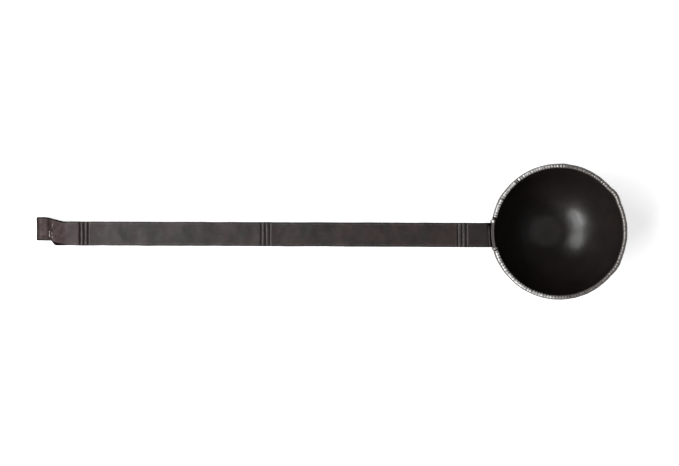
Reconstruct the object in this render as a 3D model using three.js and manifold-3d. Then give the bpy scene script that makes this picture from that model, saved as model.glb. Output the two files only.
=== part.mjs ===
// A hand-forged iron ladle: a raised bowl, a ring round its lip, one flat bar that is handle,
// hook and bowl seat, and the three weld runs that hold the bar to the bowl.
// Millimetres, +Z up. The ladle lies on a table at z = 0, on the base of its bowl and on its hook.
// +X runs from the hook to the bowl, and the origin is under the middle of the whole ladle.
import * as THREE from "three";
import { mergeVertices } from "three/addons/utils/BufferGeometryUtils.js";
import Module from "manifold-3d";

const wasm = await Module();
wasm.setup();

// Overall
const REACH = 453.2; // from the bowl's axis to the back of the hook
const FIT_GAP = 0.3; // between faces that touch on the real ladle

// Bowl
const BOWL_RADIUS = 58; // outside, at the lip
const BOWL_DEPTH = 55; // from the table to the lip
const BOWL_WALL = 2.6;
const BASE_RADIUS = 12; // of the flat that the bowl rests on

// Ring round the lip
const RING_WIDTH = 3.8; // from its inner to its outer edge
const RING_HEIGHT = 2.6; // at its inner edge, where it is highest
const RING_FALL = 0.9; // the filed top slopes down this far towards the outer edge
const RING_ROUND = 1.1; // radius of the rounded outer edge
const RING_END_ROOM = 3.7; // between each end of the ring and the edge of the bar

// Bar: handle, hook and the tongue that hugs the bowl
const BAR_WIDTH = 21;
const BAR_THICKNESS = 3.2;
const BAR_SIDE_AT_BOWL = -2.9; // the bar sits a little to one side of the bowl's axis
const BAR_SIDE_AT_HOOK = -1.4; // and runs very slightly askew
const SEAT_BEND = 3.6; // outside radius of the bend down onto the bowl
const TONGUE_LENGTH = 30;
const TOE_WIDTH = 11; // of the rounded end of the tongue
const TOE_ROUND = 8; // length over which the tongue narrows to its toe

// Hook
const HOOK_HEIGHT = 17; // from the table to the top of its back
const HOOK_WIDTH = 20.6;
const HOOK_SIDE_STEP = 3.9; // the hook's middle stands to the +Y side of the bar's
const HOOK_BEND = 5.5; // outside radius of its two bends
const HOOK_FOOT = 17; // straight length of the leg that lies on the table
const FOOT_TAPER = 4.4; // how far the foot's +Y edge comes in by its tip
const SHOULDER_DROP = 0.8; // how much thinner the hook is than the bar
const SHOULDER_FROM_BACK = 13.2; // from the back of the hook to the low side of the shoulder
const SHOULDER_RAMP = 2.6; // length of the drop in the top face
const NOTCH_RAMP = 4.6; // length over which the -Y edge steps in
const SWEEP_START = 6; // the +Y edge starts to swing out this far before the shoulder
const SWEEP_RAMP = 20; // length over which it swings out

// Cut lines across the handle, in groups of three
const LINE_PITCH = 3.6;
const LINE_WIDTH = 1.7;
const LINE_DEPTH = 0.55;
const LINES_PER_GROUP = 3;
const HOOK_GROUP = 43.2; // from the back of the hook to the middle of its group
const MIDDLE_GROUP = 202.2; // from the back of the hook
const BOWL_GROUP = 24.5; // from the lip of the bowl

// Weld runs
const WELD_WIDTH = 4;
const WELD_HEIGHT = 1.9;
const TOE_WELD_LENGTH = 13;

// Fineness of the curved faces
const BOWL_SIDES = 48;
const WALL_STEPS = 13;
const ROUND_STEPS = 4;
const BAR_COLUMNS = 6; // across the bar
const RAMP_STEPS = 3; // along each ramp of the shoulder
const TOE_STEPS = 5;
const BEAD_SIDES = 10;
const BEAD_END_STEPS = 3;
const CHORD_SAG = 0.03; // how far a flat facet of a bend may lie from its true curve

const BOWL_X = (REACH - BOWL_RADIUS) / 2;
const HALF_TURN = Math.PI;
const QUARTER_TURN = Math.PI / 2;

// The bowl's outside is part of a sphere through the edge of its base and the lip.
const SPHERE_Z = (BOWL_RADIUS ** 2 + BOWL_DEPTH ** 2 - BASE_RADIUS ** 2) / (2 * BOWL_DEPTH);
const SPHERE_RADIUS = Math.hypot(BASE_RADIUS, SPHERE_Z);

const iron = (name, color, roughness) =>
  new THREE.MeshStandardMaterial({ name, color, roughness, metalness: 0.85 });
const blackIron = iron("blackened iron", 0x1d1a1a, 0.42);
const forgedIron = iron("forged iron", 0x453f3e, 0.55);
const filedIron = iron("filed iron", 0xa9a6a4, 0.38);
const weldIron = iron("weld iron", 0x6f6b69, 0.5);

function smooth(from, to, value) {
  return THREE.MathUtils.smoothstep(value, from, to);
}

// Keeps only the positions, so that vertices which share a place become one.
function welded(geometry) {
  const bare = new THREE.BufferGeometry();
  bare.setAttribute("position", geometry.getAttribute("position"));
  bare.setIndex(geometry.index);
  const merged = mergeVertices(bare, 1e-4);
  merged.computeVertexNormals();
  return merged;
}

function solidFrom(geometry) {
  const closed = welded(geometry);
  const vertProperties = new Float32Array(closed.getAttribute("position").array);
  const triVerts = new Uint32Array(closed.index.array);
  return new wasm.Manifold(new wasm.Mesh({ numProp: 3, vertProperties, triVerts }));
}

function geometryFrom(solid) {
  const mesh = solid.getMesh();
  const geometry = new THREE.BufferGeometry();
  geometry.setAttribute("position", new THREE.BufferAttribute(mesh.vertProperties, 3));
  geometry.setIndex(new THREE.BufferAttribute(mesh.triVerts, 1));
  geometry.computeVertexNormals();
  return geometry;
}

// Moves each vertex of a geometry to the place that a rule gives for it.
function reshaped(geometry, rule) {
  const position = geometry.getAttribute("position");
  const point = new THREE.Vector3();
  for (let i = 0; i < position.count; i++) {
    point.fromBufferAttribute(position, i);
    const moved = rule(point);
    position.setXYZ(i, moved.x, moved.y, moved.z);
  }
  return welded(geometry);
}

// Turned about the vertical axis from a profile of radii and heights.
function turned(profile) {
  return new THREE.LatheGeometry(profile, BOWL_SIDES).rotateX(QUARTER_TURN);
}

function addPiece(group, name, geometry, material) {
  const mesh = new THREE.Mesh(geometry, material);
  mesh.name = name;
  group.add(mesh);
}

// ---- bowl and ring ----

// Points on a sphere's wall from the radius where it starts up to the height of the lip.
function wallPoints(radius, startRadius) {
  const startAngle = Math.asin(startRadius / radius);
  const lipAngle = Math.acos((SPHERE_Z - BOWL_DEPTH) / radius);
  const points = [];
  for (let i = 0; i <= WALL_STEPS; i++) {
    const angle = THREE.MathUtils.lerp(startAngle, lipAngle, i / WALL_STEPS);
    points.push(new THREE.Vector2(radius * Math.sin(angle), SPHERE_Z - radius * Math.cos(angle)));
  }
  return points;
}

function bowlGeometry() {
  const innerRadius = SPHERE_RADIUS - BOWL_WALL;
  const innerFloor = Math.sqrt(innerRadius ** 2 - (SPHERE_Z - BOWL_WALL) ** 2);
  const profile = [
    new THREE.Vector2(0, 0),
    ...wallPoints(SPHERE_RADIUS, BASE_RADIUS),
    ...wallPoints(innerRadius, innerFloor).reverse(),
    new THREE.Vector2(0, BOWL_WALL),
  ];
  return welded(turned(profile));
}

function ringGeometry() {
  const inner = BOWL_RADIUS - RING_WIDTH;
  const seat = BOWL_DEPTH + FIT_GAP;
  const roundX = BOWL_RADIUS - RING_ROUND;
  const roundZ = seat + RING_HEIGHT - RING_FALL - RING_ROUND;
  const profile = [new THREE.Vector2(inner, seat), new THREE.Vector2(BOWL_RADIUS, seat)];
  for (let i = 0; i <= ROUND_STEPS; i++) {
    const angle = (QUARTER_TURN * i) / ROUND_STEPS;
    const across = RING_ROUND * Math.cos(angle);
    const up = RING_ROUND * Math.sin(angle);
    profile.push(new THREE.Vector2(roundX + across, roundZ + up));
  }
  profile.push(new THREE.Vector2(inner, seat + RING_HEIGHT));
  profile.push(profile[0].clone());
  const gapWidth = BAR_WIDTH + 2 * RING_END_ROOM;
  const gap = new THREE.BoxGeometry(BOWL_RADIUS * 2, gapWidth, BOWL_DEPTH);
  gap.translate(-BOWL_RADIUS, BAR_SIDE_AT_BOWL, BOWL_DEPTH);
  return geometryFrom(solidFrom(turned(profile)).subtract(solidFrom(gap)));
}

// ---- bar ----

// The bar's centre line, seen from -Y, with the bowl's axis at x = 0. It is a chain of straight
// runs and bends from the tip of the hook to the toe of the tongue. A positive turn is to the right.
const straight = (length) => ({ length, turn: 0 });
const bend = (radius, turn) => ({ length: radius * Math.abs(turn), turn });

const outerFace = BAR_THICKNESS / 2;
const hookFace = outerFace - SHOULDER_DROP;
const hookRadius = HOOK_BEND - hookFace;
const seatRadius = SEAT_BEND - outerFace;
const tongueRadius = SPHERE_RADIUS + FIT_GAP + outerFace;

const backBendX = -REACH + HOOK_BEND;
const backBendZ = HOOK_HEIGHT - HOOK_BEND;
const seatAngle = Math.asin((SPHERE_Z + SEAT_BEND - BOWL_DEPTH) / (tongueRadius + seatRadius));
const seatBendX = -(tongueRadius + seatRadius) * Math.cos(seatAngle);
const seatBendZ = SPHERE_Z - (tongueRadius + seatRadius) * Math.sin(seatAngle);
const span = Math.hypot(seatBendX - backBendX, seatBendZ - backBendZ);
const rise = Math.atan2(seatBendZ - backBendZ, seatBendX - backBendX);
const slope = rise - Math.asin((hookRadius - seatRadius) / span);

const runs = {
  foot: straight(HOOK_FOOT),
  footBend: bend(hookRadius, QUARTER_TURN),
  back: straight(HOOK_HEIGHT - 2 * HOOK_BEND),
  backBend: bend(hookRadius, QUARTER_TURN - slope),
  handle: straight(Math.sqrt(span ** 2 - (hookRadius - seatRadius) ** 2)),
  seatBend: bend(seatRadius, QUARTER_TURN + slope - seatAngle),
  tongue: bend(tongueRadius, -TONGUE_LENGTH / tongueRadius),
};

// Where each run starts along the bar, and the bar's whole length.
const starts = {};
let barLength = 0;
for (const [name, run] of Object.entries(runs)) {
  starts[name] = barLength;
  barLength += run.length;
}

const tip = { x: backBendX + HOOK_FOOT, z: hookFace, heading: HALF_TURN };

function centreLine(along) {
  let { x, z, heading } = tip;
  let left = along;
  for (const run of Object.values(runs)) {
    const part = Math.min(left, run.length);
    const turn = (run.turn * part) / run.length;
    if (turn === 0) {
      x += part * Math.cos(heading);
      z += part * Math.sin(heading);
    } else {
      x += ((Math.sin(heading) - Math.sin(heading - turn)) * part) / turn;
      z += ((Math.cos(heading - turn) - Math.cos(heading)) * part) / turn;
    }
    heading -= turn;
    left -= part;
    if (left <= 0) break;
  }
  return { x, z, heading };
}

// Length along the bar of the place on the handle that is so far from the back of the hook.
function fromBack(distance) {
  const handleStart = centreLine(starts.handle);
  return starts.handle + (distance - REACH - handleStart.x) / Math.cos(slope);
}

const lineCentres = [HOOK_GROUP, MIDDLE_GROUP, REACH - BOWL_RADIUS - BOWL_GROUP].flatMap((middle) =>
  Array.from({ length: LINES_PER_GROUP }, (_, i) =>
    fromBack(middle + (i - (LINES_PER_GROUP - 1) / 2) * LINE_PITCH),
  ),
);

const shoulder = fromBack(SHOULDER_FROM_BACK);
const sweepStart = shoulder - SWEEP_START;
const seatEnd = starts.tongue;
const toeStart = barLength - TOE_ROUND;

// How far the top face lies above the centre line.
function topFace(along) {
  const drop = SHOULDER_DROP * (1 - smooth(shoulder, shoulder + SHOULDER_RAMP, along));
  const cuts = lineCentres.map((centre) => 1 - Math.abs(along - centre) / (LINE_WIDTH / 2));
  return outerFace - drop - LINE_DEPTH * Math.max(0, ...cuts);
}

// The bar's two edges, as distances from the bowl's axis along Y.
function edges(along) {
  const handleShare = THREE.MathUtils.clamp((along - starts.handle) / runs.handle.length, 0, 1);
  const middle = THREE.MathUtils.lerp(BAR_SIDE_AT_HOOK, BAR_SIDE_AT_BOWL, handleShare);
  const toeShare = Math.max(0, (along - toeStart) / TOE_ROUND);
  const toeLoss = 1 - (TOE_WIDTH / BAR_WIDTH) ** 2;
  const half = (BAR_WIDTH / 2) * Math.sqrt(1 - toeLoss * toeShare ** 2);
  const narrower = (BAR_WIDTH - HOOK_WIDTH) / 2;
  const stepIn = 1 - smooth(shoulder, shoulder + NOTCH_RAMP, along);
  const swingOut = 1 - smooth(sweepStart, sweepStart + SWEEP_RAMP, along);
  const footTaper = FOOT_TAPER * Math.max(0, 1 - along / HOOK_FOOT);
  const low = middle - half + (HOOK_SIDE_STEP + narrower) * stepIn;
  const high = middle + half + (HOOK_SIDE_STEP - narrower) * swingOut - footTaper;
  return { low, high };
}

// Carries a point round the bowl's axis, so that what is flat lies round the wall.
function wrapped(x, y, share) {
  const round = -Math.sqrt(x ** 2 - y ** 2);
  return THREE.MathUtils.lerp(x, round, share);
}

function facetCount(run) {
  if (run.turn === 0) return 1;
  const turn = Math.abs(run.turn);
  const facetTurn = 2 * Math.acos(1 - CHORD_SAG / (run.length / turn));
  return Math.ceil(turn / facetTurn);
}

function evenly(from, to, count) {
  return Array.from({ length: count + 1 }, (_, i) => THREE.MathUtils.lerp(from, to, i / count));
}

// The places along the bar where its shape changes.
function barStations() {
  const places = [barLength];
  for (const [name, run] of Object.entries(runs)) {
    places.push(...evenly(starts[name], starts[name] + run.length, facetCount(run)));
  }
  for (const centre of lineCentres) {
    places.push(centre - LINE_WIDTH / 2, centre, centre + LINE_WIDTH / 2);
  }
  places.push(...evenly(shoulder, shoulder + SHOULDER_RAMP, RAMP_STEPS));
  places.push(...evenly(shoulder + SHOULDER_RAMP, shoulder + NOTCH_RAMP, RAMP_STEPS));
  places.push(...evenly(sweepStart, shoulder, RAMP_STEPS));
  places.push(...evenly(shoulder + NOTCH_RAMP, sweepStart + SWEEP_RAMP, RAMP_STEPS));
  places.push(...evenly(toeStart, barLength, TOE_STEPS));
  const rounded = places.map((place) => Number(place.toFixed(3)));
  return [...new Set(rounded)].sort((a, b) => a - b);
}

// A straight bar, which is then drawn, cut and bent along the centre line.
function barGeometry() {
  const stations = barStations();
  const blank = new THREE.BoxGeometry(1, 1, 1, stations.length - 1, BAR_COLUMNS, 1);
  return reshaped(blank, (point) => {
    const along = stations[Math.round((point.x + 0.5) * (stations.length - 1))];
    const { x, z, heading } = centreLine(along);
    const { low, high } = edges(along);
    const off = point.z > 0 ? topFace(along) : -outerFace;
    const y = THREE.MathUtils.lerp(low, high, point.y + 0.5);
    const flatX = x - off * Math.sin(heading);
    const seated = smooth(starts.seatBend, seatEnd, along);
    return new THREE.Vector3(wrapped(flatX, y, seated), y, z + off * Math.cos(heading));
  });
}

// ---- weld runs ----

// A half-round bead laid on the wall of the bowl. Its middle line goes from one place on the
// wall to another, each given as a length down from the sphere's widest level and a side (Y).
function beadGeometry(from, to) {
  const run = to.clone().sub(from);
  const direction = run.clone().normalize();
  const sideways = new THREE.Vector2(-direction.y, direction.x);
  const radius = WELD_WIDTH / 2;
  const length = run.length() - WELD_WIDTH;
  const blank = new THREE.CapsuleGeometry(
    radius,
    length,
    BEAD_END_STEPS,
    BEAD_SIDES,
    Math.ceil(length / radius),
  );
  return reshaped(blank, (point) => {
    const place = from.clone();
    place.addScaledVector(direction, run.length() / 2 + point.y);
    place.addScaledVector(sideways, point.x);
    const height = Math.max(0, point.z) * (WELD_HEIGHT / radius);
    const reach = SPHERE_RADIUS + FIT_GAP + height;
    const angle = place.x / SPHERE_RADIUS;
    const x = wrapped(-reach * Math.cos(angle), place.y, 1);
    return new THREE.Vector3(x, place.y, SPHERE_Z - reach * Math.sin(angle));
  });
}

const lipDrop = SPHERE_RADIUS * Math.asin((SPHERE_Z - BOWL_DEPTH) / SPHERE_RADIUS);
const toeDrop = SPHERE_RADIUS * (seatAngle + TONGUE_LENGTH / tongueRadius);
const sideWeldEnd = toeDrop - TOE_ROUND;
const sideWeldOffset = BAR_WIDTH / 2 + FIT_GAP + WELD_WIDTH / 2;
const toeWeldDrop = toeDrop + FIT_GAP + WELD_WIDTH / 2;

function sideWeld(side) {
  const y = BAR_SIDE_AT_BOWL + side * sideWeldOffset;
  return beadGeometry(new THREE.Vector2(lipDrop, y), new THREE.Vector2(sideWeldEnd, y));
}

function toeWeld() {
  const low = new THREE.Vector2(toeWeldDrop, BAR_SIDE_AT_BOWL - TOE_WELD_LENGTH / 2);
  const high = new THREE.Vector2(toeWeldDrop, BAR_SIDE_AT_BOWL + TOE_WELD_LENGTH / 2);
  return beadGeometry(low, high);
}

// ---- the ladle ----

const ladle = new THREE.Group();
ladle.position.x = BOWL_X;
addPiece(ladle, "bowl", bowlGeometry(), blackIron);
addPiece(ladle, "rim_ring", ringGeometry(), filedIron);
addPiece(ladle, "handle", barGeometry(), forgedIron);
addPiece(ladle, "weld_bead_left", sideWeld(1), weldIron);
addPiece(ladle, "weld_bead_right", sideWeld(-1), weldIron);
addPiece(ladle, "weld_bead_toe", toeWeld(), weldIron);

export default ladle;
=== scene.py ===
"""A hand-forged iron ladle: the finished look of its bowl, lip ring, bar and weld runs.

Metres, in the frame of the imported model: +X from the hook to the bowl, +Z up, table at z = 0.
"""

import math
import random

import bmesh
import bpy
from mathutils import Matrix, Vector


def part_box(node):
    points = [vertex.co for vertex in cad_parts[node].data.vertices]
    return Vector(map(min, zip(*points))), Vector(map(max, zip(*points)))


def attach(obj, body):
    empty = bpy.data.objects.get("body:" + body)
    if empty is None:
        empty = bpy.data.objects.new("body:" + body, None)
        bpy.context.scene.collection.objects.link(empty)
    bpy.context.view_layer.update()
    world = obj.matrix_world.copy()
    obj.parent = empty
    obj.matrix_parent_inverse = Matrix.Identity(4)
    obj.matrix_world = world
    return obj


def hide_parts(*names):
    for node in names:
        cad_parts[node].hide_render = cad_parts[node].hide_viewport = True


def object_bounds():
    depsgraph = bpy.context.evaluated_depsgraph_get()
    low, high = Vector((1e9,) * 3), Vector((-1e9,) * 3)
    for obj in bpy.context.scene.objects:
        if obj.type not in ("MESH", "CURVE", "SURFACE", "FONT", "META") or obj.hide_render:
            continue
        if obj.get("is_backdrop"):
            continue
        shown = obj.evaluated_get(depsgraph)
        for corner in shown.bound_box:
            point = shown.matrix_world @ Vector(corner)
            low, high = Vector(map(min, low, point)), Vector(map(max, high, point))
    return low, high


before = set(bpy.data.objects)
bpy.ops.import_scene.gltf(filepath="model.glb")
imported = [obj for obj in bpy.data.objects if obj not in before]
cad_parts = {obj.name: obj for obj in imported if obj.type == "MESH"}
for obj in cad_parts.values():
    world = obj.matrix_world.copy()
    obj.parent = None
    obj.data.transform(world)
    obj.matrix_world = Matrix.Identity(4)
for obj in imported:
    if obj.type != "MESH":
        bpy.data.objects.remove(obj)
cad_box = [list(corner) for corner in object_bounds()]

MM = 0.001
UP = Vector((0, 0, 1))
ACROSS = Vector((0, 1, 0))  # the bar

# ---- sizes ----

bowl_low, bowl_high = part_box("bowl")
ring_low, ring_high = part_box("rim_ring")
bar_low, bar_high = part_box("handle")

# Bowl
BOWL_X = (bowl_low.x + bowl_high.x) / 2
BOWL_RADIUS = (bowl_high.x - bowl_low.x) / 2
LIP = bowl_high.z
BOWL_WALL = 2.6 * MM
BASE_RADIUS = 12 * MM
SPHERE_Z = (BOWL_RADIUS**2 + LIP**2 - BASE_RADIUS**2) / (2 * LIP)
SPHERE_RADIUS = math.hypot(BASE_RADIUS, SPHERE_Z)
SPHERE_MIDDLE = Vector((BOWL_X, 0, SPHERE_Z))

# Ring round the lip
RING_WIDTH = 3.8 * MM
RING_TOP = ring_high.z
RING_SEAT = LIP - 0.3 * MM
RING_FALL = 1.5 * MM
RING_START = math.radians(-163.2)
RING_END = math.radians(167.4)
RING_SWEEP = RING_END - RING_START
RING_CORNERS = 20  # of its round section, before filing

# File ripples on the ring
RIPPLE_LENGTH = 2.65 * MM
RIPPLES = round(RING_SWEEP * BOWL_RADIUS / RIPPLE_LENGTH)
RIPPLE_PITCH = RING_SWEEP * BOWL_RADIUS / RIPPLES
ROWS_PER_RIPPLE = 4
RIPPLE_DEPTHS = (0.1, 0.45)  # least and most, in mm
RIPPLE_DENTS = (-0.1, 0.22)  # of the outer side, inwards, in mm

# Bulges of the ring: angle, how far out, and how far they reach
RING_BULGES = [
    (math.radians(33), 1.3 * MM, 9 * MM),
    (math.radians(-31), 0.7 * MM, 10 * MM),
]

# Bar
REACH = BOWL_X - bar_low.x
FIT_GAP = 0.3 * MM
BAR_WIDTH = 21 * MM
BAR_THICKNESS = 3.2 * MM
BAR_SIDE_AT_BOWL = -2.9 * MM
BAR_SIDE_AT_HOOK = -1.4 * MM
SEAT_BEND = 3.6 * MM
TONGUE_LENGTH = 30 * MM
TOE_WIDTH = 11 * MM
TOE_ROUND = 8 * MM
ARRIS = 0.7 * MM
COLUMNS = 12  # strips across the width
COLUMN_GRID = 0.01 * MM  # to tell which points share a column
BEND_STEPS = 8
TONGUE_STEPS = 16

# Hook
HOOK_HEIGHT = 17 * MM
HOOK_WIDTH = 20.6 * MM
HOOK_SIDE_STEP = 3.9 * MM
HOOK_BEND = 5.5 * MM
HOOK_FOOT = 17 * MM
FOOT_TAPER = 4.4 * MM
FOOT_STEPS = 6
SHOULDER_DROP = 0.8 * MM
SHOULDER_FROM_BACK = 13.2 * MM
SHOULDER_RAMP = 2.6 * MM
NOTCH_RAMP = 4.6 * MM
SWEEP_START = 6 * MM
SWEEP_RAMP = 20 * MM

# Cut lines, in groups of three
LINE_PITCH = 3.6 * MM
LINE_DEPTH = 0.55 * MM
LINES_PER_GROUP = 3
LINE_GROUPS = [43.2 * MM, 202.2 * MM, REACH - BOWL_RADIUS - 24.5 * MM]  # from the hook's back

# Across a line: mm from its middle, and height as a share of its depth
LINE_PROFILE = [
    (-1.35, 0.2),
    (-0.8, 0.1),
    (-0.4, -0.6),
    (0, -1),
    (0.4, -0.6),
    (0.8, 0.1),
    (1.35, 0.2),
]

# Accidents of the work
BEND_ASKEW = 0.05  # slant of the bend at the lip
LINE_WOBBLE = 0.3  # mm
SLANT = Vector((-1.4 * MM, 0, -0.4 * MM))  # how far the bend's +Y end is drawn back
SLANT_REACH = 9 * MM

# Painted glints on the shoulder's burr: length from the hook's back, half width, and ends along Y
GLINT_SPOTS = [
    (12.4 * MM, 0.3 * MM, -4.2 * MM, 0.2 * MM),
    (15.0 * MM, 0.1 * MM, 3.4 * MM, 6.4 * MM),
    (14.6 * MM, 0.1 * MM, -2.3 * MM, -0.6 * MM),
    (14.8 * MM, 0.1 * MM, -5.0 * MM, -3.9 * MM),
]

# Weld runs
WELD_STEP = 0.8 * MM
WELD_RADIUS = 1.9 * MM
WELD_BESIDE_BAR = 1.1 * MM
WELD_BELOW_LIP = 2 * MM  # where the part of a run that lies on the wall starts
WELD_SUNK = -1.5 * MM  # depth in the wall at the lip
WELD_SURFACES = 12 * MM  # below the lip, where a run has come out of the wall
WELD_PAST_TOE = 1 * MM
WELD_BELOW_TOE = 1.2 * MM
WELD_TOE_PROUD = 0.3 * MM

# Thickness of a run along its length, as shares of WELD_RADIUS; crest and dip are least and most
WELD_START = 0.55
WELD_CREST = (1.0, 1.12)
WELD_DIP = (0.82, 0.9)
WELD_END = 0.5

# Runs beside the tongue: name, side, number of its first place over the lip, and seed
SIDE_RUNS = [("left", 1, 1, 3), ("right", -1, 0, 4)]

# Places over the lip: length from the lip's outer edge inwards, and up from the lip
OVER_THE_LIP = [
    (3.6 * MM, -0.2 * MM),
    (2.4 * MM, 0.1 * MM),
    (1.6 * MM, -0.2 * MM),
    (1.2 * MM, -1.0 * MM),
]

SMOOTH_ANGLE = math.radians(40)


# ---- working in edit mode ----


def clear_selection():
    """Leaves edit mode and selects nothing."""
    if bpy.context.object and bpy.context.object.mode != "OBJECT":
        bpy.ops.object.mode_set(mode="OBJECT")
    bpy.ops.object.select_all(action="DESELECT")


def open_piece(name):
    """Makes the newest primitive a piece, with its place in its mesh, open for editing."""
    piece = bpy.context.object
    piece.name = name
    piece.data.name = name
    bpy.ops.object.transform_apply(location=True, rotation=True, scale=True)
    bpy.ops.object.mode_set(mode="EDIT")
    return piece


def pick(piece, kind, wanted):
    """Selects the faces, edges or points that a rule wants, and nothing else."""
    bpy.ops.mesh.select_mode(type=kind)
    bpy.ops.mesh.select_all(action="DESELECT")
    mesh = bmesh.from_edit_mesh(piece.data)
    parts = {"FACE": mesh.faces, "EDGE": mesh.edges, "VERT": mesh.verts}[kind]
    for part in parts:
        if wanted(part):
            part.select_set(True)
    mesh.select_flush_mode()
    bmesh.update_edit_mesh(piece.data)


def picked_faces(piece):
    """Numbers of the faces that are selected now."""
    return {face.index for face in bmesh.from_edit_mesh(piece.data).faces if face.select}


def flatten_underside(piece):
    """Puts the lowest points on the table."""
    pick(piece, "VERT", lambda point: point.co.z < 0.3 * MM)
    bpy.ops.transform.resize(value=(1, 1, 0), center_override=(0, 0, 0))


def move(by):
    bpy.ops.transform.translate(value=by)


def drag(by, reach):
    """Moves what is selected and, less and less, what lies within reach of it."""
    bpy.ops.transform.translate(
        value=by,
        use_proportional_edit=True,
        proportional_edit_falloff="SMOOTH",
        proportional_size=reach,
    )


def draw_out(direction, length):
    """Extrudes the selected end of a piece."""
    bpy.ops.mesh.extrude_region_move(TRANSFORM_OT_translate={"value": direction * length})


def turn_out(angle, centre, axis, steps):
    """Spins the selected end of a piece round an axis, right-handed."""
    bpy.ops.mesh.spin(steps=steps, angle=angle, center=centre, axis=-axis)


def apply_modifier(piece, kind, **settings):
    modifier = piece.modifiers.new(kind.lower(), kind)
    for name, value in settings.items():
        setattr(modifier, name, value)
    bpy.ops.object.modifier_apply(modifier=modifier.name)


def hammer(piece, mark, size, depth, group=""):
    """Leaves soft marks of one size and depth in the surface."""
    pattern = bpy.data.textures.new(piece.name + " marks", mark)
    pattern.noise_scale = size
    apply_modifier(
        piece,
        "DISPLACE",
        texture=pattern,
        texture_coords="LOCAL",
        strength=depth,
        mid_level=0.5,
        vertex_group=group,
    )


def group_points(piece, name, wanted):
    """Names a group of points, for a modifier that works on those alone."""
    group = piece.vertex_groups.new(name=name)
    group.add([point.index for point in piece.data.vertices if wanted(point.co)], 1, "REPLACE")
    return name


def close_piece(piece, node, finish):
    """Ends a piece: shading, finish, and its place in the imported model."""
    bpy.ops.object.mode_set(mode="OBJECT")
    bpy.ops.object.shade_smooth_by_angle(angle=SMOOTH_ANGLE)
    piece.vertex_groups.clear()
    piece.data.materials.clear()
    piece.data.materials.append(finish)
    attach(piece, "root")
    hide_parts(node)


def round_sharp_edges(piece, sharpness, width, segments):
    """Bevels the edges that are sharper than an angle, in degrees."""
    pick(piece, "EDGE", lambda edge: False)
    bpy.ops.mesh.edges_select_sharp(sharpness=math.radians(sharpness))
    bpy.ops.mesh.bevel(offset=width, segments=segments, clamp_overlap=False)


def face_outwards():
    bpy.ops.mesh.select_all(action="SELECT")
    bpy.ops.mesh.remove_doubles(threshold=0.002 * MM)
    bpy.ops.mesh.normals_make_consistent(inside=False)


# ---- shader maths ----


class Signal:
    """A value that changes over a surface. Sums with it add Math nodes."""

    def __init__(self, finish, socket):
        self.finish = finish
        self.socket = socket

    def _math(self, operation, *terms):
        inputs = dict(enumerate(terms))
        return self.finish.add("ShaderNodeMath", {"operation": operation}, inputs)

    def __add__(self, other):
        return self._math("ADD", self, other)

    def __radd__(self, other):
        return self._math("ADD", other, self)

    def __sub__(self, other):
        return self._math("SUBTRACT", self, other)

    def __rsub__(self, other):
        return self._math("SUBTRACT", other, self)

    def __mul__(self, other):
        return self._math("MULTIPLY", self, other)

    def highest(self, other):
        return self._math("MAXIMUM", self, other)

    def size(self):
        return self._math("ABSOLUTE", self)

    def to_nearest(self, pitch):
        """Distance to the nearest multiple of a pitch."""
        return self._math("PINGPONG", self, pitch / 2)

    def within(self, low, high, soft):
        """1 between low and high, and 0 outside them."""
        return self.between(low - soft, low) * (1 - self.between(high, high + soft))

    def between(self, low, high):
        """0 at low and 1 at high, eased."""
        settings = {"interpolation_type": "SMOOTHSTEP"}
        inputs = {"Value": self, "From Min": low, "From Max": high}
        return self.finish.add("ShaderNodeMapRange", settings, inputs)


class Finish:
    """A material that is being put together."""

    def __init__(self, name, **constants):
        self.material = bpy.data.materials.new(name)
        self.material.use_nodes = True
        self.nodes = self.material.node_tree.nodes
        self.links = self.material.node_tree.links
        self.shader = self.nodes["Principled BSDF"]
        for socket, value in constants.items():
            self.shader.inputs[socket.replace("_", " ")].default_value = value
        self.place = self.add("ShaderNodeTexCoord", output="Object")
        parts = self.add_node("ShaderNodeSeparateXYZ", {}, {"Vector": self.place})
        self.x, self.y, self.z = (Signal(self, socket) for socket in parts.outputs)

    def add_node(self, kind, settings, inputs):
        node = self.nodes.new(kind)
        for name, value in settings.items():
            setattr(node, name, value)
        for name, value in inputs.items():
            self.feed(node.inputs[name], value)
        return node

    def add(self, kind, settings=None, inputs=None, output=0):
        node = self.add_node(kind, settings or {}, inputs or {})
        return Signal(self, node.outputs[output])

    def feed(self, socket, value):
        if isinstance(value, Signal):
            self.links.new(value.socket, socket)
        elif socket.type == "RGBA":
            socket.default_value = (*value, 1)
        else:
            socket.default_value = value

    def vector(self, x, y, z):
        return self.add("ShaderNodeCombineXYZ", inputs={"X": x, "Y": y, "Z": z})

    def noise(self, size, detail=3, roughness=0.55, place=None, distortion=0):
        """Cloudy noise whose patches are about as large as size, in metres."""
        inputs = {
            "Vector": place or self.place,
            "Scale": 1 / size,
            "Detail": detail,
            "Roughness": roughness,
            "Distortion": distortion,
        }
        return self.add("ShaderNodeTexNoise", inputs=inputs)

    def mix(self, share, first, second):
        """The first colour where share is 0 and the second where it is 1."""
        settings = {"data_type": "RGBA", "clamp_factor": True}
        return self.add("ShaderNodeMix", settings, {0: share, 6: first, 7: second}, output=2)

    def bump(self, height, depth):
        """A normal from a height between 0 and 1 that stands for depth, in metres."""
        inputs = {"Strength": 1, "Distance": depth, "Height": height}
        return self.add("ShaderNodeBump", inputs=inputs)

    def use(self, **sockets):
        """Feeds the shader, and gives back the finished material."""
        for name, value in sockets.items():
            self.feed(self.shader.inputs[name.replace("_", " ")], value)
        return self.material


# ---- finishes ----


def round_the_bowl(finish):
    """Distance from the bowl's axis, and length along the lip."""
    out = finish.x - BOWL_X
    square = out * out + finish.y * finish.y
    radius = finish.add("ShaderNodeMath", {"operation": "SQRT"}, {0: square})
    angle = finish.add("ShaderNodeMath", {"operation": "ARCTAN2"}, {0: finish.y, 1: out})
    return radius, angle * BOWL_RADIUS


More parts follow.
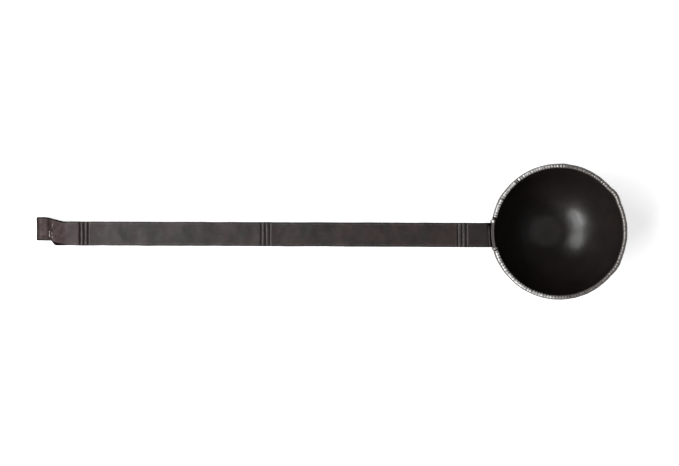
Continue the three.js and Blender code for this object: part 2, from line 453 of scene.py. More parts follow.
def blackened_iron():
    """Near-black, oiled and satin, with ground metal showing on the bare lip beside the bar."""
    finish = Finish("blackened iron", IOR=1.42)
    radius, along = round_the_bowl(finish)
    patches = finish.noise(22 * MM, detail=4)
    grain = finish.noise(1.6 * MM, detail=3)
    pits = finish.noise(0.7 * MM, detail=2)
    brown = (0.0185, 0.0138, 0.0122)
    black = (0.0122, 0.0102, 0.0094)
    colour = finish.mix(patches.between(0.35, 0.7), black, brown)
    colour = finish.mix(grain.between(0.5, 0.85) * 0.5, colour, (0.013, 0.0105, 0.0092))
    on_lip = finish.z.between(LIP - 0.55 * MM, LIP - 0.15 * MM)
    handle_half = 1 - finish.x.between(BOWL_X - 3 * MM, BOWL_X)
    beside_bar = finish.y.within(-12.6 * MM, 8.6 * MM, 0.3 * MM) * handle_half
    streaks = finish.noise(0.8 * MM, place=finish.vector(radius * 0.2, along, finish.z))
    inner_part = 1 - radius.between(BOWL_RADIUS - 0.7 * MM, BOWL_RADIUS - 0.2 * MM)
    ground = on_lip * beside_bar * inner_part * streaks.between(0.2, 0.5)
    colour = finish.mix(ground, colour, (0.19, 0.175, 0.165))
    roughness = 0.245 + patches * 0.08 + grain * 0.06
    height = grain * 0.6 + pits * 0.4
    return finish.use(
        Base_Color=colour,
        Metallic=ground * 0.85,
        Roughness=roughness,
        Normal=finish.bump(height, 0.05 * MM),
    )


def filed_iron():
    """Bright and filed crosswise on top, brown and dull on the rounded outer side, with painted
    shade on the far side and along the inner edge.
    """
    finish = Finish("filed iron", IOR=2.2)
    radius, along = round_the_bowl(finish)
    across = finish.vector(radius * 0.12, along, finish.z * 0.12)
    scratches = finish.noise(0.55 * MM, detail=3, roughness=0.6, place=across)
    strokes = finish.noise(1.5 * MM, detail=2, place=across, distortion=0.3)
    patches = finish.noise(9 * MM, detail=3)
    first_ripple = RING_START * BOWL_RADIUS + RIPPLE_PITCH / 2
    from_start = along - first_ripple + (patches - 0.5) * 3 * MM
    valleys = 1 - from_start.to_nearest(RIPPLE_PITCH).between(0.1 * MM, 0.8 * MM)
    bright = finish.mix(scratches.between(0.35, 0.62), (0.80, 0.785, 0.77), (1.0, 0.985, 0.97))
    wear_and_painted_light = finish.mix(strokes.between(0.58, 0.66) * 0.8, bright, (0.07, 0.06, 0.052))
    # Painted shade: the side of the ring away from the lamps is painted darker and less metallic,
    # in patches.
    painted_shade_far_side = finish.x.between(BOWL_X - 16 * MM, BOWL_X + 12 * MM) * patches.between(0.1, 0.3)
    wear_and_painted_light = finish.mix(painted_shade_far_side * 0.85, wear_and_painted_light, (0.12, 0.103, 0.088))
    depth = strokes.between(0.34, 0.6) * 0.6 + 0.3 - painted_shade_far_side * 0.15
    # Darker in the valleys of the file ripples, less so on the far side.
    wear_and_painted_light = finish.mix(valleys * depth, wear_and_painted_light, (0.05, 0.043, 0.037))
    outer_edge = BOWL_RADIUS - RING_WIDTH * 0.3
    outside = (radius + patches * 0.8 * MM).between(outer_edge, outer_edge + 1.0 * MM)
    low = 1 - finish.z.between(LIP + 0.2 * MM, LIP + 1.0 * MM)
    # Dark along the inner edge of the filed top: painted shade, put in with the dull scale of the
    # outer and low sides.
    inner_edge = BOWL_RADIUS - RING_WIDTH
    ragged = radius + (scratches - valleys) * 0.5 * MM
    inside = 1 - ragged.between(inner_edge + 0.5 * MM, inner_edge + 1.0 * MM)
    scale = outside.highest(low).highest(inside)
    colour = finish.mix(scale * 0.9, wear_and_painted_light, (0.05, 0.04, 0.035))
    roughness = 0.38 + scratches * 0.14 + scale * 0.1
    return finish.use(
        Base_Color=colour,
        Metallic=0.95 - scale * 0.45 - painted_shade_far_side * 0.15,
        Roughness=roughness,
        Normal=finish.bump(scratches * 0.5 + strokes * 0.5, 0.14 * MM),
    )


def line_marks(back):
    """Where the bottoms of the cut lines are, and the burrs beside them."""
    grooves = 0
    burrs = 0
    for group in LINE_GROUPS:
        off = back - group
        to_line = off.to_nearest(LINE_PITCH)
        bottom = 1 - to_line.between(0.1 * MM, 0.6 * MM)
        beside = to_line.between(0.9 * MM, 1.45 * MM)
        grooves = grooves + bottom * off.size().within(0, 4.6 * MM, MM)
        burrs = burrs + beside * off.size().within(0, 5.2 * MM, 0.6 * MM)
    return grooves, burrs


def distance_from_edge(finish, back):
    """Distance from the nearer edge of the bar, which lies askew and steps aside at the hook."""
    askew = (BAR_SIDE_AT_BOWL - BAR_SIDE_AT_HOOK) / (REACH - BOWL_RADIUS)
    hook_side = (1 - back.between(7 * MM, 27 * MM)) * HOOK_SIDE_STEP
    return BAR_WIDTH / 2 - (finish.y - BAR_SIDE_AT_HOOK - back * askew - hook_side).size()


def painted_glints(finish, back, grain):
    """Where painted glints sit on the burr of the shoulder."""
    glints = 0
    for distance, half_width, low, high in GLINT_SPOTS:
        across = back.within(distance - half_width, distance + half_width, 0.25 * MM)
        glints = glints + across * finish.y.within(low, high, 0.5 * MM)
    on_hook = finish.z.between(HOOK_HEIGHT - 3 * MM, HOOK_HEIGHT - 2 * MM)
    return glints * on_hook * grain.between(0.38, 0.56)


def forge_scale():
    """Brown-grey scale on the bar, with painted shade on its arrises and in its lines, and lighter
    rubbed wear with painted highlights beside the lines.
    """
    finish = Finish("forge scale", IOR=1.47)
    long_way = finish.vector(finish.x * 0.22, finish.y, finish.z)
    patches = finish.noise(16 * MM, detail=4)
    blotches = finish.noise(5 * MM, detail=4)
    drawn = finish.noise(2.6 * MM, detail=4, place=long_way)
    grain = finish.noise(0.9 * MM, detail=3)
    back = finish.x - bar_low.x
    bend = REACH - BOWL_RADIUS
    rise = math.tan(slope)
    middle = handle_start.z - handle_start.x * rise
    on_top = (finish.z - finish.x * rise).between(middle - 0.6 * MM, middle + 0.4 * MM)
    at_bend = finish.z.between(LIP - 5.5 * MM, LIP - 4 * MM)
    tongue = back.between(bend - 4 * MM, bend - 3 * MM) * (1 - at_bend)
    hook = 1 - back.between(24 * MM, 31 * MM)
    hook_half = 1 - back.between(30 * MM, 90 * MM)

    brown = (0.025, 0.0148, 0.0135)
    grey = (0.013, 0.0105, 0.010)
    rubbed_and_highlight = (0.055, 0.045, 0.042)
    soot_and_shade_black = (0.003, 0.0025, 0.0025)
    colour = finish.mix(patches.between(0.38, 0.62), grey, brown)
    colour = finish.mix(hook_half * 0.6, colour, (0.033, 0.0122, 0.0112))
    colour = finish.mix(hook * 0.8, colour, (0.038, 0.0110, 0.0100))
    colour = finish.mix(drawn.between(0.5, 0.75) * 0.5, colour, (0.036, 0.025, 0.0225))
    colour = finish.mix(grain.between(0.55, 0.75) * 0.6, colour, (0.006, 0.005, 0.005))

    # Worn along the edges and beside the lines, where the rubbed wear also carries a painted
    # highlight; painted shade, dark and metallic black, on the arrises, at the hook's back and in
    # the lines.
    from_edge = distance_from_edge(finish, back)
    wear_and_painted_light = blotches.between(0.35, 0.6)
    # A lighter line just inside each edge: rubbed wear with a painted highlight.
    near_edge = from_edge.within(1.5 * MM, 2.1 * MM, 0.5 * MM) * wear_and_painted_light
    colour = finish.mix(near_edge * 0.6, colour, rubbed_and_highlight)
    # Painted shade: the arrises and the hook's back, where the surface turns away from the lamps,
    # are dark and metallic black so that they reflect nothing.
    arris = 1 - (from_edge - hook * 0.5 * MM).between(0.5 * MM, 1.3 * MM)
    painted_shade_and_dark_blotches = arris * (0.4 + hook * 0.5 - tongue * 0.4)
    painted_shade_and_dark_blotches = painted_shade_and_dark_blotches.highest((1 - back.between(1.4 * MM, 2.8 * MM)) * 0.95)
    # Darker blotches over the hook and its half of the handle.
    painted_shade_and_dark_blotches = painted_shade_and_dark_blotches.highest(hook_half * 0.2).highest(hook * (blotches * 0.9 - 0.1))
    grooves, burrs = line_marks(back + (blotches - 0.5) * 0.9 * MM)
    # The burrs beside the lines are painted lighter: rubbed wear with a painted highlight.
    colour = finish.mix(burrs * on_top * wear_and_painted_light * 0.8, colour, rubbed_and_highlight)
    # Painted shade in the bottoms of the cut lines.
    painted_shade_and_dark_blotches = painted_shade_and_dark_blotches.highest(grooves * on_top * (0.45 + blotches * 0.6))

    # The last of the handle is black from the heat. Along its bend runs a painted highlight on a
    # crest that is also rubbed, with painted shade just behind the crest and at the bend's
    # drawn-back +Y corner.
    slanted = back + (finish.y - BAR_SIDE_AT_BOWL) * BEND_ASKEW + (blotches - 0.5) * 0.8 * MM
    heated = back.between(bend - 24 * MM, bend - 10 * MM)
    colour = finish.mix(heated * 0.45, colour, soot_and_shade_black)
    corner = finish.y.between(4.2 * MM, 6.6 * MM) * back.between(bend - 4.2 * MM, bend - 2.2 * MM)
    # Painted highlight along the crest of the bend, which is also rubbed.
    crest = slanted.within(bend - 1.7 * MM, bend - 0.8 * MM, 0.4 * MM) * (1 - corner) * at_bend
    colour = finish.mix(crest * 0.9, colour, (0.15, 0.135, 0.12))
    # Painted shade just behind the crest and at the corner.
    behind_crest = slanted.within(bend - 2.9 * MM, bend - 2.1 * MM, 0.3 * MM)
    painted_shade_and_dark_blotches = painted_shade_and_dark_blotches.highest(behind_crest * 0.3 * at_bend).highest(corner * at_bend)

    # The crease under the shoulder gets painted shade, and its burr painted glints.
    crease = back.within(SHOULDER_FROM_BACK - 1.4 * MM, SHOULDER_FROM_BACK + 0.2 * MM, 0.7 * MM)
    painted_shade_and_dark_blotches = painted_shade_and_dark_blotches.highest(crease * (0.3 + blotches * 0.5))
    colour = finish.mix(painted_shade_and_dark_blotches, colour, soot_and_shade_black)
    glints = painted_glints(finish, back + (blotches - 0.5) * 1.2 * MM, grain)
    colour = finish.mix(glints * 0.9, colour, (0.42, 0.40, 0.36))

    roughness = 0.27 + grain * 0.14 + patches * 0.06 + painted_shade_and_dark_blotches * 0.5
    return finish.use(
        Base_Color=colour,
        Metallic=painted_shade_and_dark_blotches * (1 - glints) * 0.9,
        Roughness=roughness - hook_half * 0.06 - hook * 0.02,
        Normal=finish.bump(drawn * 0.5 + grain * 0.5, 0.09 * MM),
    )


def weld_metal():
    """Grey, rippled and wire-brushed."""
    finish = Finish("weld metal", IOR=2.0)
    patches = finish.noise(3 * MM, detail=3)
    grain = finish.noise(0.5 * MM, detail=3)
    colour = finish.mix(patches.between(0.35, 0.7), (0.1, 0.09, 0.083), (0.34, 0.32, 0.31))
    filed = finish.y.between(0, 6 * MM) * finish.z.between(LIP - 0.6 * MM, LIP + 0.2 * MM)
    colour = finish.mix(filed * 0.85, colour, (0.92, 0.90, 0.88))
    return finish.use(
        Base_Color=colour,
        Metallic=0.6 + patches * 0.3,
        Roughness=0.38 + grain * 0.15,
        Normal=finish.bump(grain, 0.06 * MM),
    )


# ---- bowl ----


def bowl():
    """Raised from sheet: hammered outside, smoothed inside, with a small flat to rest on."""
    clear_selection()
    bpy.ops.mesh.primitive_uv_sphere_add(
        segments=192, ring_count=144, radius=SPHERE_RADIUS, location=SPHERE_MIDDLE
    )
    piece = open_piece("ladle_bowl")
    bpy.ops.mesh.select_all(action="SELECT")
    bpy.ops.mesh.bisect(plane_co=(BOWL_X, 0, LIP), plane_no=UP, clear_outer=True)
    pick(piece, "VERT", lambda point: point.co.z < 0)
    bpy.ops.transform.resize(value=(1, 1, 0), center_override=(BOWL_X, 0, 0))
    bpy.ops.object.mode_set(mode="OBJECT")
    apply_modifier(piece, "SOLIDIFY", thickness=BOWL_WALL, offset=-1, use_even_offset=True)
    bpy.ops.object.mode_set(mode="EDIT")
    round_sharp_edges(piece, 50, 0.5 * MM, 3)

    # Inside, the edge of the flat is smoothed away.
    middle = SPHERE_RADIUS - BOWL_WALL / 2
    near_flat = lambda point: (point.co - SPHERE_MIDDLE).length < middle and point.co.z < 8 * MM
    pick(piece, "VERT", near_flat)
    bpy.ops.mesh.vertices_smooth(factor=0.5, repeat=30)
    bpy.ops.object.mode_set(mode="OBJECT")
    below_lip = LIP - 1.2 * MM
    outside = lambda place: (place - SPHERE_MIDDLE).length > middle and place.z < below_lip
    inside = lambda place: (place - SPHERE_MIDDLE).length < middle and place.z < below_lip
    hammer(piece, "VORONOI", 13 * MM, 0.9 * MM, group_points(piece, "outside", outside))
    hammer(piece, "CLOUDS", 18 * MM, 0.35 * MM, group_points(piece, "inside", inside))
    bpy.ops.object.mode_set(mode="EDIT")
    flatten_underside(piece)
    close_piece(piece, "bowl", blackened_iron())


# ---- ring round the lip ----


def ring_place(angle, radius, height):
    return Vector((BOWL_X + radius * math.cos(angle), radius * math.sin(angle), height))


def ring_angle(place):
    return math.atan2(place.y, place.x - BOWL_X)


def ring_radius(place):
    return math.hypot(place.x - BOWL_X, place.y)


def bulge(piece, angle, out, reach):
    """Pushes the ring outwards over a short stretch, where the weld under it stands proud."""
    outer = BOWL_RADIUS - 1.2 * MM
    at_middle = lambda place: abs(ring_angle(place) - angle) < 0.02
    near = lambda point: at_middle(point.co) and ring_radius(point.co) > outer
    pick(piece, "VERT", near)
    drag(ring_place(angle, out, 0) - ring_place(angle, 0, 0), reach)


def ring_rows(piece, steps):
    """The numbers of the points in each row across the ring."""
    rows = {}
    for point in bmesh.from_edit_mesh(piece.data).verts:
        row = round((ring_angle(point.co) - RING_START) / RING_SWEEP * steps)
        rows.setdefault(row, set()).add(point.index)
    return rows


def file_ripples(piece, steps):
    """Sinks one row of the top in each ripple, and dents the ring's outer side beside it."""
    chance = random.Random(11)
    rows = ring_rows(piece, steps)
    top = RING_TOP - RING_FALL - 0.6 * MM
    outer = BOWL_RADIUS - 1.0 * MM
    for row in range(2, steps, ROWS_PER_RIPPLE):
        cut = rows[row + chance.choice((-1, 0, 0, 0, 1))]
        depth = chance.uniform(*RIPPLE_DEPTHS) * MM
        pick(piece, "VERT", lambda point: point.index in cut and point.co.z > top)
        move((0, 0, -depth))
        angle = RING_START + RING_SWEEP * row / steps
        dent = chance.uniform(*RIPPLE_DENTS) * MM
        pick(piece, "VERT", lambda point: point.index in cut and ring_radius(point.co) > outer)
        move((ring_place(angle, 0, 0) - ring_place(angle, 1, 0)) * dent)


def rim_ring():
    """A round bar laid on the lip and filed down on top, crosswise, in short strokes."""
    clear_selection()
    middle_radius = BOWL_RADIUS - RING_WIDTH / 2
    middle_height = (RING_TOP + RING_SEAT) / 2
    bpy.ops.mesh.primitive_circle_add(
        vertices=RING_CORNERS,
        radius=RING_WIDTH / 2,
        fill_type="NGON",
        location=ring_place(RING_START, middle_radius, middle_height),
        rotation=(math.pi / 2, 0, RING_START),
    )
    piece = open_piece("lip_ring")
    outwards = ring_place(RING_START, 1, 0) - Vector((BOWL_X, 0, 0))
    filed = outwards * RING_FALL + UP * RING_WIDTH
    inner_edge = ring_place(RING_START, BOWL_RADIUS - RING_WIDTH, RING_TOP)
    bpy.ops.mesh.select_all(action="SELECT")
    bpy.ops.mesh.bisect(plane_co=inner_edge, plane_no=filed, clear_outer=True)
    bpy.ops.mesh.select_all(action="SELECT")
    bpy.ops.mesh.bisect(plane_co=(BOWL_X, 0, RING_SEAT), plane_no=UP, clear_inner=True)
    bpy.ops.mesh.select_all(action="SELECT")
    steps = RIPPLES * ROWS_PER_RIPPLE
    turn_out(RING_SWEEP, Vector((BOWL_X, 0, 0)), UP, steps)
    face_outwards()
    file_ripples(piece, steps)
    for angle, out, reach in RING_BULGES:
        bulge(piece, angle, out, reach)
    bpy.ops.object.mode_set(mode="OBJECT")
    apply_modifier(piece, "SUBSURF", levels=1, render_levels=1)
    hammer(piece, "CLOUDS", 7 * MM, 0.5 * MM)
    close_piece(piece, "rim_ring", filed_iron())


# ---- bar ----

# The line that the bar follows, with its bends' middles and radii
outer_face = BAR_THICKNESS / 2
hook_face = outer_face - SHOULDER_DROP
hook_radius = HOOK_BEND - hook_face
seat_radius = SEAT_BEND - outer_face
tongue_radius = SPHERE_RADIUS + FIT_GAP + outer_face

back_bend = Vector((bar_low.x + HOOK_BEND, 0, HOOK_HEIGHT - HOOK_BEND))
foot_bend = Vector((back_bend.x, 0, HOOK_BEND))
seat_angle = math.asin((SPHERE_Z + SEAT_BEND - LIP) / (tongue_radius + seat_radius))
seat_bend = Vector(
    (
        BOWL_X - (tongue_radius + seat_radius) * math.cos(seat_angle),
        0,
        SPHERE_Z - (tongue_radius + seat_radius) * math.sin(seat_angle),
    )
)
span = seat_bend - back_bend
slope = math.atan2(span.z, span.x) - math.asin((hook_radius - seat_radius) / span.length)
handle_way = Vector((math.cos(slope), 0, math.sin(slope)))
handle_up = Vector((-math.sin(slope), 0, math.cos(slope)))
handle_length = math.sqrt(span.length**2 - (hook_radius - seat_radius) ** 2)
handle_start = back_bend + handle_up * hook_radius


def ease(low, high, value):
    """0 at low and 1 at high, eased."""
    share = min(1, max(0, (value - low) / (high - low)))
    return share * share * (3 - 2 * share)


def from_back(distance):
    """Length along the handle of the place that is so far from the back of the hook."""
    return (distance + bar_low.x - handle_start.x) / handle_way.x


def bar_edges(along):
    """Where the two edges of the handle lie, along Y, at a length along it."""
    share = min(1, max(0, along / handle_length))
    middle = BAR_SIDE_AT_HOOK + (BAR_SIDE_AT_BOWL - BAR_SIDE_AT_HOOK) * share
    shoulder = from_back(SHOULDER_FROM_BACK)
    narrower = (BAR_WIDTH - HOOK_WIDTH) / 2
    step_in = 1 - ease(shoulder, shoulder + NOTCH_RAMP, along)
    swing_out = 1 - ease(shoulder - SWEEP_START, shoulder - SWEEP_START + SWEEP_RAMP, along)
    low = middle - BAR_WIDTH / 2 + (HOOK_SIDE_STEP + narrower) * step_in
    high = middle + BAR_WIDTH / 2 + (HOOK_SIDE_STEP - narrower) * swing_out
    return low, high


def bar_thickness(along):
    shoulder = from_back(SHOULDER_FROM_BACK)
    return BAR_THICKNESS - SHOULDER_DROP * (1 - ease(shoulder, shoulder + SHOULDER_RAMP, along))


def line_middles():
    """Lengths along the handle of all the cut lines."""
    first = -(LINES_PER_GROUP - 1) / 2
    return [
        from_back(group + (first + i) * LINE_PITCH)
        for group in LINE_GROUPS
        for i in range(LINES_PER_GROUP)
    ]


def handle_stations():
    """The lengths along the handle at which its shape is set."""
    shoulder = from_back(SHOULDER_FROM_BACK)
    swept = shoulder - SWEEP_START + SWEEP_RAMP
    stations = [shoulder - SWEEP_START * i / 5 for i in range(1, 6)]
    stations += [shoulder + SHOULDER_RAMP * i / 5 for i in range(6)]
    stations += [swept - (swept - shoulder - SHOULDER_RAMP) * i / 8 for i in range(8)]
    for middle in line_middles():
        stations += [middle + offset * MM for offset, _ in LINE_PROFILE]
    between = []
    place = swept + 2 * MM
    while place < handle_length:
        if min(abs(place - station) for station in stations) > 1.2 * MM:
            between.append(place)
        place += 3 * MM
    return sorted(stations + between + [handle_length])


def set_end(before, after, inner):
    """Brings the selected end of the bar from one width and thickness to another."""
    low, high, thick = before
    new_low, new_high, new_thick = after
    middle = (low + high) / 2
    bpy.ops.transform.resize(
        value=(1, (new_high - new_low) / (high - low), new_thick / thick),
        center_override=(inner.x, middle, inner.z),
    )
    move((0, (new_low + new_high) / 2 - middle, 0))


def curve_end(piece, share):
    """Hollows the selected end of the bar, so that it fits the round wall of the bowl."""
    ends = picked_faces(piece)
    mesh = bmesh.from_edit_mesh(piece.data)
    columns = {}
    for face in mesh.faces:
        if face.index in ends:
            for point in face.verts:
                columns.setdefault(round(point.co.y / COLUMN_GRID), set()).add(point.index)
    for column, points in columns.items():
        hollow = tongue_radius - math.sqrt(tongue_radius**2 - (column * COLUMN_GRID) ** 2)
        pick(piece, "VERT", lambda point: point.index in points)
        move((hollow * share, 0, 0))
    pick(piece, "FACE", lambda face: face.index in ends)


def on_handle(point):
    """A point's length along the handle, and its height above the handle's middle."""
    off = point.co - handle_start
    return off.dot(handle_way), off.dot(handle_up)


def cut_lines(piece):
    """Chisels the lines into the top of the handle, with a low burr along both sides of each."""
    chance = random.Random(5)
    for middle in line_middles():
        depth = LINE_DEPTH * chance.uniform(0.8, 1.15)
        for offset, height in LINE_PROFILE:
            station = middle + offset * MM

            def in_row(point):
                along, above = on_handle(point)
                return abs(along - station) < 0.1 * MM and above > 0.9 * MM

            pick(piece, "VERT", in_row)
            move(handle_up * (height * depth))
        low, high = bar_edges(middle)
        strip = (high - low) / COLUMNS
        for column in range(COLUMNS + 1):
            side = low + strip * column

            def in_column(point):
                along, above = on_handle(point)
                in_line = abs(along - middle) < 1.5 * MM and above > 0.4 * MM
                return in_line and abs(point.co.y - side) < strip / 2

            pick(piece, "VERT", in_column)
            move(handle_way * chance.uniform(-LINE_WOBBLE, LINE_WOBBLE) * MM)


def near_top(point, station, reach):
    """True for a point of the handle's top that is within reach of a length along it."""
    along, above = on_handle(point)
    return abs(along - station) < reach and above > -0.6 * MM


def crease_shoulder(piece):
    """Sinks the crease under the shoulder, and leaves a bump on the +Y edge beside it."""
    shoulder = from_back(SHOULDER_FROM_BACK)
    pick(piece, "VERT", lambda point: near_top(point, shoulder - 0.4 * MM, 0.9 * MM))
    move(handle_up * -0.3 * MM)
    bump = shoulder + 5.5 * MM
    _, high = bar_edges(bump)
    at_edge = lambda point: near_top(point, bump, 1.2 * MM) and point.co.y > high - 1.2 * MM
    pick(piece, "VERT", at_edge)
    move((0, 0.45 * MM, 0))


def slant_bend(piece):
    """Draws the +Y end of the bend back, away from the lip."""
    reach = SEAT_BEND * 0.8
    corner = lambda point: (
        (point.co - seat_bend - Vector((0, point.co.y, 0))).length < reach
        and point.co.y > BAR_SIDE_AT_BOWL + BAR_WIDTH / 2 - 1.2 * MM
        and point.co.z > seat_bend.z
    )
    pick(piece, "VERT", corner)
    drag(SLANT, SLANT_REACH)


def make_foot(piece):
    """Divides the block that the bar starts from, and narrows it towards the hook's tip."""
    low, high = bar_edges(0)
    runs = lambda edge, way: abs((edge.verts[0].co - edge.verts[1].co).normalized().dot(way)) > 0.9
    pick(piece, "EDGE", lambda edge: runs(edge, ACROSS))
    bpy.ops.mesh.subdivide(number_cuts=COLUMNS - 1)
    pick(piece, "EDGE", lambda edge: runs(edge, Vector((1, 0, 0))))
    bpy.ops.mesh.subdivide(number_cuts=FOOT_STEPS - 1)
    for cut in range(FOOT_STEPS):
        x = back_bend.x + HOOK_FOOT * (cut + 1) / FOOT_STEPS
        narrow = 1 - FOOT_TAPER * (cut + 1) / FOOT_STEPS / (high - low)
        pick(piece, "VERT", lambda point: abs(point.co.x - x) < 0.1 * MM)
        bpy.ops.transform.resize(value=(1, narrow, 1), center_override=(x, low, 0))


def make_hook(piece):
    """Turns the foot up and over into the handle."""
    pick(piece, "FACE", lambda face: face.normal.x < -0.9)
    turn_out(math.pi / 2, foot_bend, ACROSS, BEND_STEPS)
    for _ in range(2):
        draw_out(UP, (HOOK_HEIGHT - 2 * HOOK_BEND) / 2)
    turn_out(math.pi / 2 - slope, back_bend, ACROSS, BEND_STEPS)


def make_long_part():
    """Draws the selected end out, station by station, as its width and thickness change."""
    done = 0
    before = (*bar_edges(0), bar_thickness(0))
    for station in handle_stations():
        draw_out(handle_way, station - done)
        after = (*bar_edges(station), bar_thickness(station))
        if after != before:
            set_end(before, after, handle_start + handle_way * station - handle_up * outer_face)
        done = station
        before = after


def make_tongue(piece):
    """Turns the end down against the bowl, hollows it to fit, and rounds its toe."""
    for step in range(BEND_STEPS):
        turn_out((math.pi / 2 + slope - seat_angle) / BEND_STEPS, seat_bend, ACROSS, 1)
        curve_end(piece, ease(0, BEND_STEPS, step + 1) - ease(0, BEND_STEPS, step))
    narrowed = 1
    for step in range(1, TONGUE_STEPS + 1):
        turn_out(-TONGUE_LENGTH / tongue_radius / TONGUE_STEPS, SPHERE_MIDDLE, ACROSS, 1)
        toe_share = max(0, (TONGUE_LENGTH * (step / TONGUE_STEPS - 1) + TOE_ROUND) / TOE_ROUND)
        width = math.sqrt(1 - (1 - (TOE_WIDTH / BAR_WIDTH) ** 2) * toe_share**2)
        bpy.ops.transform.resize(
            value=(1, width / narrowed, 1), center_override=(0, BAR_SIDE_AT_BOWL, 0)
        )
        narrowed = width


def handle():
    """One flat bar: the hook, the shoulder, the handle, the bend at the lip and the tongue."""
    clear_selection()
    low, high = bar_edges(0)
    thick = bar_thickness(0)
    bpy.ops.mesh.primitive_cube_add(
        size=1,
        location=(back_bend.x + HOOK_FOOT / 2, (low + high) / 2, thick / 2),
        scale=(HOOK_FOOT, high - low, thick),
    )
    piece = open_piece("bar")
    make_foot(piece)
    make_hook(piece)
    make_long_part()
    make_tongue(piece)
    face_outwards()
    round_sharp_edges(piece, 55, ARRIS, 2)
    cut_lines(piece)
    crease_shoulder(piece)
    slant_bend(piece)
    bpy.ops.object.mode_set(mode="OBJECT")
    apply_modifier(piece, "SUBSURF", levels=1, render_levels=1)
    hammer(piece, "CLOUDS", 14 * MM, 0.5 * MM)
    bpy.ops.object.mode_set(mode="EDIT")
    flatten_underside(piece)
    close_piece(piece, "handle", forge_scale())


# ---- weld runs ----


def on_wall(drop, side, proud):
    """A place by the bowl's outside: length down from its widest level, side, height above it."""
    reach = SPHERE_RADIUS + proud
    angle = drop / SPHERE_RADIUS
    flat = reach * math.cos(angle)
    x = BOWL_X - math.sqrt(flat**2 - side**2)
    return Vector((x, side, SPHERE_Z - reach * math.sin(angle)))


def lean(way):
    """The angle of a direction in the plane of X and Z."""
    return math.atan2(way.z, way.x) % (2 * math.pi)


def weld_run(name, node, places, seed, finish, turns=True):
    """A string of small melted crescents along a seam, which may turn down over the lip."""
    chance = random.Random(seed)
    clear_selection()
    way = (places[1] - places[0]).normalized()
    bpy.ops.mesh.primitive_circle_add(
        vertices=10,
        radius=WELD_RADIUS * WELD_START,
        fill_type="NGON",
        location=places[0],
        rotation=way.to_track_quat("Z", "Y").to_euler(),
    )
    piece = open_piece(name)
    bpy.ops.mesh.select_all(action="SELECT")
    width = WELD_START
    facing = lean(way)
    for step, (here, there) in enumerate(zip(places, places[1:])):
        draw_out((there - here).normalized(), (there - here).length)
        if turns:
            beyond = places[min(step + 2, len(places) - 1)]
            bpy.ops.transform.rotate(
                value=lean(beyond - here) - facing, orient_axis="Y", center_override=there
            )
            facing = lean(beyond - here)
        target = chance.uniform(*(WELD_DIP if step % 2 else WELD_CREST))
        if step == len(places) - 2:
            target = WELD_END
        bpy.ops.transform.resize(value=(target / width,) * 3, center_override=there)
        width = target
    face_outwards()
    bpy.ops.object.mode_set(mode="OBJECT")
    apply_modifier(piece, "SUBSURF", levels=2, render_levels=2)
    hammer(piece, "CLOUDS", 3 * MM, 0.5 * MM)
    close_piece(piece, node, finish)


def steps_between(start, end, step):
    """Evenly spaced numbers from start to end, about a step apart."""
    count = max(2, round(abs(end - start) / step))
    return [start + (end - start) * i / count for i in range(count + 1)]


def welds():
    """A run down each side of the tongue, and one round its toe."""
    finish = weld_metal()
    lip_drop = SPHERE_RADIUS * math.asin((SPHERE_Z - LIP) / SPHERE_RADIUS)
    toe_drop = SPHERE_RADIUS * (seat_angle + TONGUE_LENGTH / tongue_radius)
    for name, side, first, seed in SIDE_RUNS:
        y = BAR_SIDE_AT_BOWL + side * (BAR_WIDTH / 2) + side * WELD_BESIDE_BAR
        places = [
            Vector((BOWL_X - math.sqrt((BOWL_RADIUS - inset) ** 2 - y**2), y, LIP + rise))
            for inset, rise in OVER_THE_LIP[first:]
        ]
        for drop in steps_between(lip_drop + WELD_BELOW_LIP, toe_drop - TOE_ROUND, WELD_STEP):
            sunk = WELD_SUNK * (1 - ease(lip_drop, lip_drop + WELD_SURFACES, drop))
            places.append(on_wall(drop, y, sunk))
        weld_run(f"weld_{name}", f"weld_bead_{name}", places, seed, finish)
    half = TOE_WIDTH / 2 + WELD_PAST_TOE
    places = [
        on_wall(toe_drop + WELD_BELOW_TOE, BAR_SIDE_AT_BOWL + side, WELD_TOE_PROUD)
        for side in steps_between(-half, half, WELD_STEP)
    ]
    weld_run("weld_toe", "weld_bead_toe", places, 6, finish, turns=False)


# ---- floor, light and camera ----

FLOOR_SIZE = 2.8
PAPER_GLOW = 0.62  # light that comes through the paper from below

# Sines of the elevations between which the pale walls give way to the dark ceiling
WALL_TOP = (0.1, 0.4)
WALL_LIGHT = 1.0
CEILING_LIGHT = 0.06

# Name, direction from the bowl, distance, width, height and power
SOFT_LIGHTS = [
    ("main light", (-0.62, -0.41, 0.67), 3.2, 1.5, 0.85, 63),
    ("middle light", (-0.66, -0.08, 0.72), 3.2, 1.5, 1.05, 20),
    ("second light", (-0.60, 0.25, 0.74), 3.2, 1.3, 1.05, 33),
    ("low light", (-0.25, -0.77, 0.59), 3.2, 2.4, 1.6, 3),
    ("fill light", (0.45, -0.05, 0.89), 2.4, 1.7, 1.9, 6.5),
]

LENS = 83.75  # mm
SENSOR_WIDTH = 36  # mm
EYE = (10.6 * MM, -1.15 * MM, 1.4)


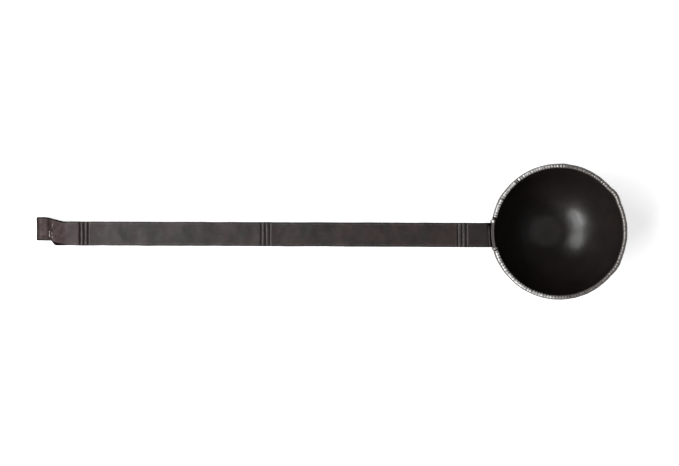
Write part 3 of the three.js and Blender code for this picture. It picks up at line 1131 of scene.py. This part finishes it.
def floor():
    """White paper on the table."""
    clear_selection()
    bpy.ops.mesh.primitive_plane_add(size=FLOOR_SIZE, location=(0, 0, 0))
    sheet = bpy.context.object
    sheet.name = "floor"
    paper = Finish("white paper", Roughness=0.9, Emission_Strength=PAPER_GLOW)
    paper.use(Base_Color=(0.86, 0.86, 0.86), Emission_Color=(1, 1, 1))
    sheet.data.materials.append(paper.material)
    sheet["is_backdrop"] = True


def soft_light(name, way, distance, width, height, power):
    """A soft box that faces the bowl."""
    lamp = bpy.data.lights.new(name, "AREA")
    lamp.shape = "RECTANGLE"
    lamp.size = width
    lamp.size_y = height
    lamp.energy = power
    box = bpy.data.objects.new(name, lamp)
    way = Vector(way).normalized()
    box.location = Vector((BOWL_X, 0, LIP / 2)) + way * distance
    box.rotation_euler = way.to_track_quat("Z", "Y").to_euler()
    bpy.context.scene.collection.objects.link(box)


def studio():
    """Soft boxes on the hook's side, weak broad ones elsewhere, and pale walls all round."""
    for settings in SOFT_LIGHTS:
        soft_light(*settings)
    world = bpy.data.worlds.new("studio")
    world.use_nodes = True
    nodes = world.node_tree.nodes
    links = world.node_tree.links
    place = nodes.new("ShaderNodeTexCoord")
    parts = nodes.new("ShaderNodeSeparateXYZ")
    walls = nodes.new("ShaderNodeMapRange")
    walls.inputs["From Min"].default_value = WALL_TOP[0]
    walls.inputs["From Max"].default_value = WALL_TOP[1]
    walls.inputs["To Min"].default_value = WALL_LIGHT
    walls.inputs["To Max"].default_value = CEILING_LIGHT
    background = nodes["Background"]
    background.inputs["Color"].default_value = (1, 1, 1, 1)
    links.new(place.outputs["Generated"], parts.inputs["Vector"])
    links.new(parts.outputs["Z"], walls.inputs["Value"])
    links.new(walls.outputs["Result"], background.inputs["Strength"])
    bpy.context.scene.world = world


def camera():
    """High above the ladle. A camera that isn't turned looks straight down."""
    lens = bpy.data.cameras.new("camera")
    lens.lens = LENS
    lens.sensor_width = SENSOR_WIDTH
    eye = bpy.data.objects.new("camera", lens)
    eye.location = EYE
    bpy.context.scene.collection.objects.link(eye)
    bpy.context.scene.camera = eye
    bpy.context.scene.view_settings.view_transform = "Standard"


camera()
bowl()
rim_ring()
handle()
welds()
floor()
studio()

clear_selection()
shown_box = [list(corner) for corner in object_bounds()]
